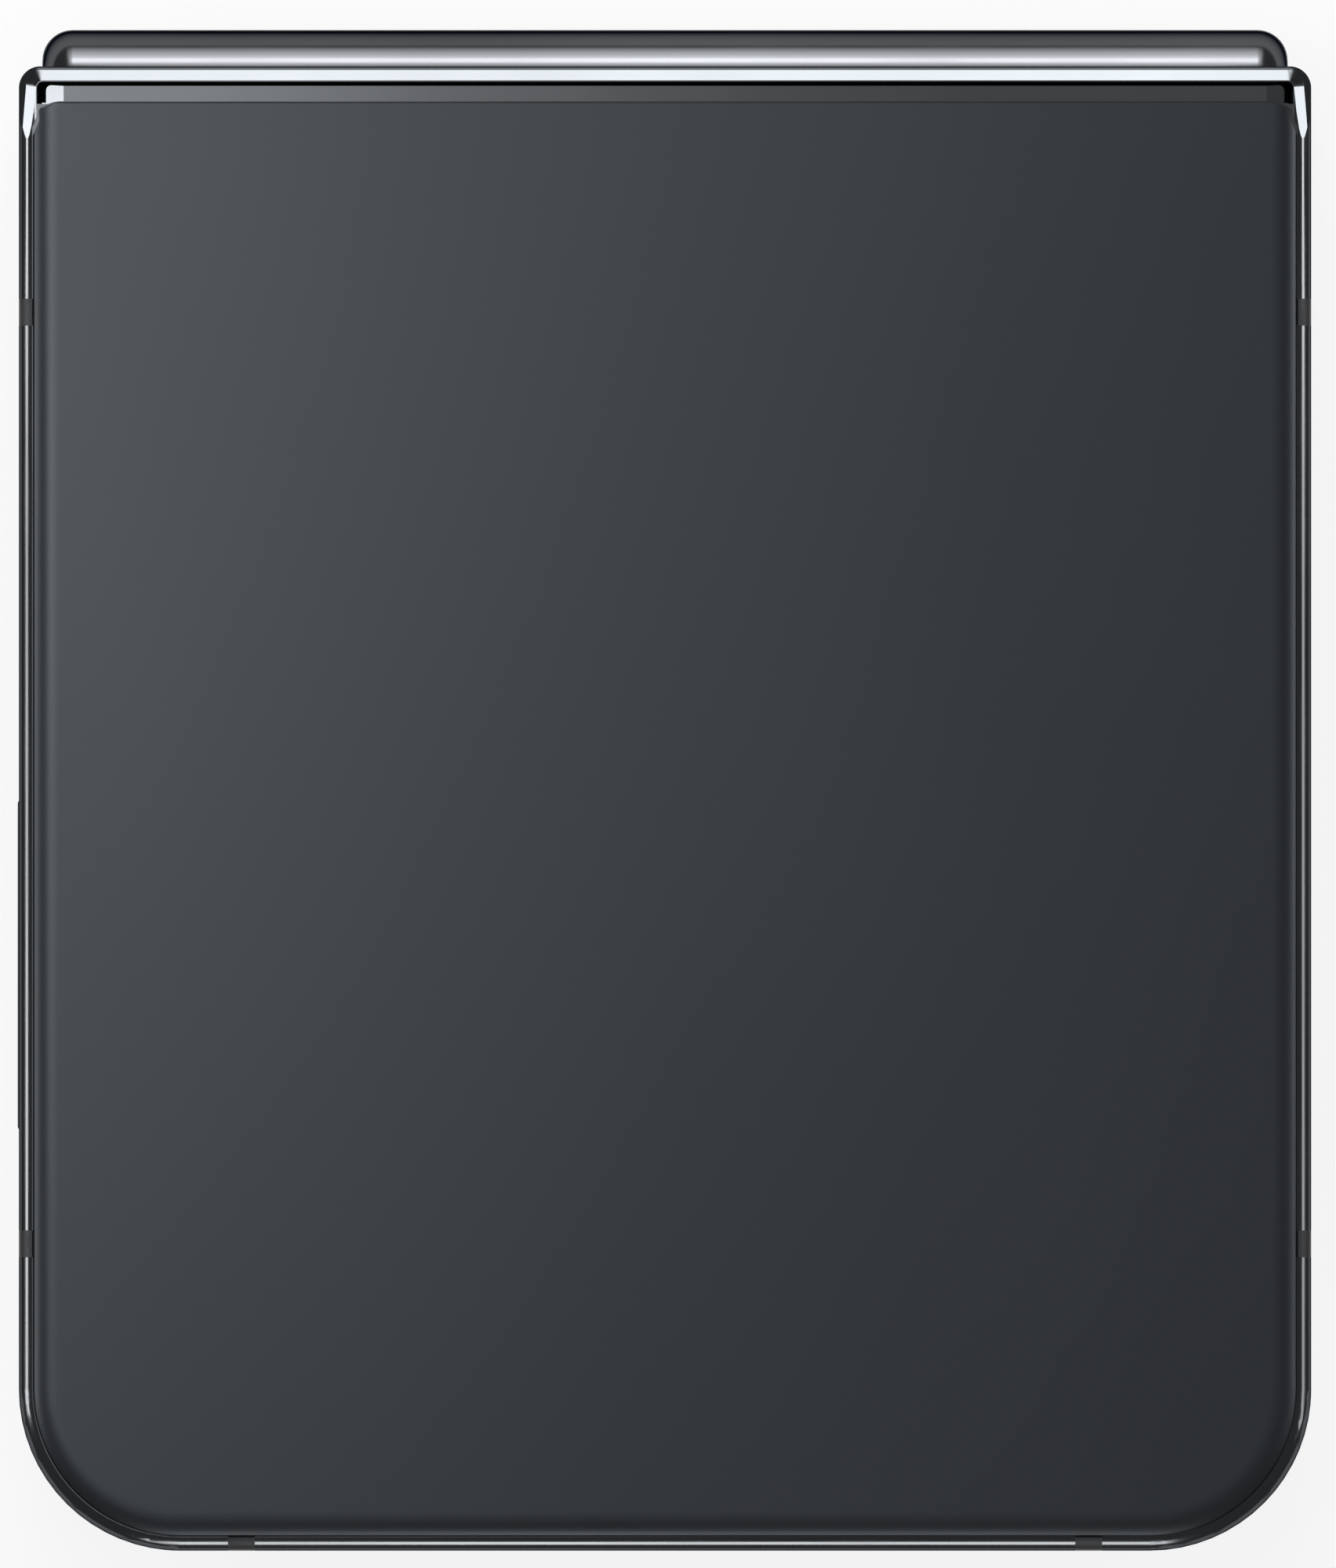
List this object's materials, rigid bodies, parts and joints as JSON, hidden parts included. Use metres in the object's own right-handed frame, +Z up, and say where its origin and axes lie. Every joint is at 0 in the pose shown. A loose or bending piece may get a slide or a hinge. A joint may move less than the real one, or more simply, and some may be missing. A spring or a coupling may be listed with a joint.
{
  "type": "flip phone",
  "caption": "Clamshell phone with a folding screen: two slim metal-framed halves joined by a dual-axis geared spine, closed, glass back panels, side keys and a charging port.",
  "frame": {"origin": "centre of the closed phone's underside, on the surface it lies on", "axes": "+X across the phone, +Y from the free end to the hinge spine, +Z up, out of the back glass of the base half"},
  "size_m": [0.0722, 0.0848, 0.0159],
  "materials": {
    "frame_metal": "polished graphite anodised aluminium",
    "spine_metal": "polished graphite anodised aluminium",
    "ring_metal": "polished graphite ring",
    "key_metal": "satin graphite anodised aluminium",
    "back_glass": "satin graphite back-painted glass",
    "cover_glass": "gloss black glass",
    "lens_glass": "coated dark lens cover",
    "screen_panel": "dark screen panel",
    "folding_display": "gloss black folding screen with soft top film",
    "module_black": "moulded black module",
    "flash_plastic": "diffuse flash window",
    "circuit_board": "solder-masked board",
    "plated_steel": "tin-plated steel",
    "battery_pack": "black film-wrapped battery",
    "flex_film": "polyimide film",
    "bezel_plastic": "soft black bezel",
    "antenna_plastic": "dark grey antenna filler",
    "hinge_steel": "ground hinge steel",
    "screw_steel": "dark screw steel",
    "magnet": "nickel-plated magnet",
    "copper": "enamelled copper",
    "ferrite": "ferrite sheet",
    "mesh_black": "fine black mesh"
  },
  "bodies": {
    "cover_half": {"cover_frame": "frame_metal", "cover_glass": "cover_glass", "cover_display": "screen_panel", "camera_rings": "ring_metal", "camera_lens_covers": "lens_glass", "camera_modules": "module_black", "flash_lens": "flash_plastic", "selfie_camera": "module_black", "earpiece": "module_black", "main_board": "circuit_board", "board_shields": "plated_steel", "upper_battery": "battery_pack", "key_switches": "flex_film", "sim_socket": "plated_steel", "cover_bezel": "bezel_plastic", "cover_antenna_breaks": "antenna_plastic", "cover_rotators": "hinge_steel", "cover_hinge_screws": "screw_steel", "cover_magnets": "magnet", "display_upper_section": "folding_display"},
    "base_half": {"base_frame": "frame_metal", "back_glass": "back_glass", "main_battery": "battery_pack", "charging_coil": "copper", "coil_shield": "ferrite", "sub_board": "circuit_board", "usb_c_receptacle": "plated_steel", "loudspeaker": "module_black", "speaker_grille": "mesh_black", "microphone": "plated_steel", "vibration_motor": "plated_steel", "base_bezel": "bezel_plastic", "base_antenna_breaks": "antenna_plastic", "base_rotators": "hinge_steel", "base_hinge_screws": "screw_steel", "base_magnets": "magnet", "display_lower_section": "folding_display"},
    "spine": {"spine_housing": "spine_metal", "hinge_bracket_right": "hinge_steel", "hinge_bracket_left": "hinge_steel", "friction_washers": "hinge_steel", "bracket_screws": "screw_steel", "fold_caps": "bezel_plastic", "display_fold_section": "folding_display", "hinge_flex_cable": "flex_film"},
    "cover_arms": {"cover_arms": "hinge_steel"},
    "base_arms": {"base_arms": "hinge_steel"},
    "idler_a": {"idler_gears_a": "hinge_steel"},
    "idler_b": {"idler_gears_b": "hinge_steel"},
    "volume_rocker": {"volume_rocker": "key_metal"},
    "side_key": {"side_key": "key_metal"},
    "sim_tray": {"sim_tray": "key_metal"}
  },
  "joints": [
    {"name": "cover_fold", "type": "hinge", "parent": "cover_half", "child": "spine", "pos_m": [0, 0.03935, 0.00735], "axis": [-1, 0, 0], "range_deg": [0, 90], "deforming": ["display_fold_section", "hinge_flex_cable"]},
    {"name": "base_fold", "type": "hinge", "parent": "spine", "child": "base_half", "pos_m": [0, 0.03935, 0.00935], "axis": [-1, 0, 0], "range_deg": [0, 90]},
    {"name": "cover_arm_turn", "type": "hinge", "parent": "spine", "child": "cover_arms", "pos_m": [0, 0.04055, 0.00615], "axis": [-1, 0, 0], "range_deg": [-90, 0]},
    {"name": "base_arm_turn", "type": "hinge", "parent": "spine", "child": "base_arms", "pos_m": [0, 0.04055, 0.01055], "axis": [-1, 0, 0], "range_deg": [0, 90]},
    {"name": "idler_a_turn", "type": "hinge", "parent": "spine", "child": "idler_a", "pos_m": [0, 0.04075, 0.00758], "axis": [-1, 0, 0], "range_deg": [0, 90]},
    {"name": "idler_b_turn", "type": "hinge", "parent": "spine", "child": "idler_b", "pos_m": [0, 0.04075, 0.00912], "axis": [-1, 0, 0], "range_deg": [-90, 0]},
    {"name": "volume_rock", "type": "hinge", "parent": "cover_half", "child": "volume_rocker", "pos_m": [-0.0354, -0.0098, 0.00425], "axis": [0, 0, 1], "range_deg": [-1, 1], "stiffness_Nm_per_rad": 0.5},
    {"name": "side_key_press", "type": "slide", "parent": "cover_half", "child": "side_key", "axis": [1, 0, 0], "range_m": [0, 0.0002], "stiffness_N_per_m": 200},
    {"name": "sim_tray_slide", "type": "slide", "parent": "cover_half", "child": "sim_tray", "axis": [1, 0, 0], "range_m": [0, 0.016]}
  ],
  "couplings": [
    {"joint": "base_fold", "follows": "cover_fold", "ratio": 1},
    {"joint": "cover_arm_turn", "follows": "cover_fold", "ratio": -1},
    {"joint": "base_arm_turn", "follows": "cover_fold", "ratio": 1},
    {"joint": "idler_a_turn", "follows": "cover_fold", "ratio": 0.85714},
    {"joint": "idler_b_turn", "follows": "cover_fold", "ratio": -0.85714}
  ]
}
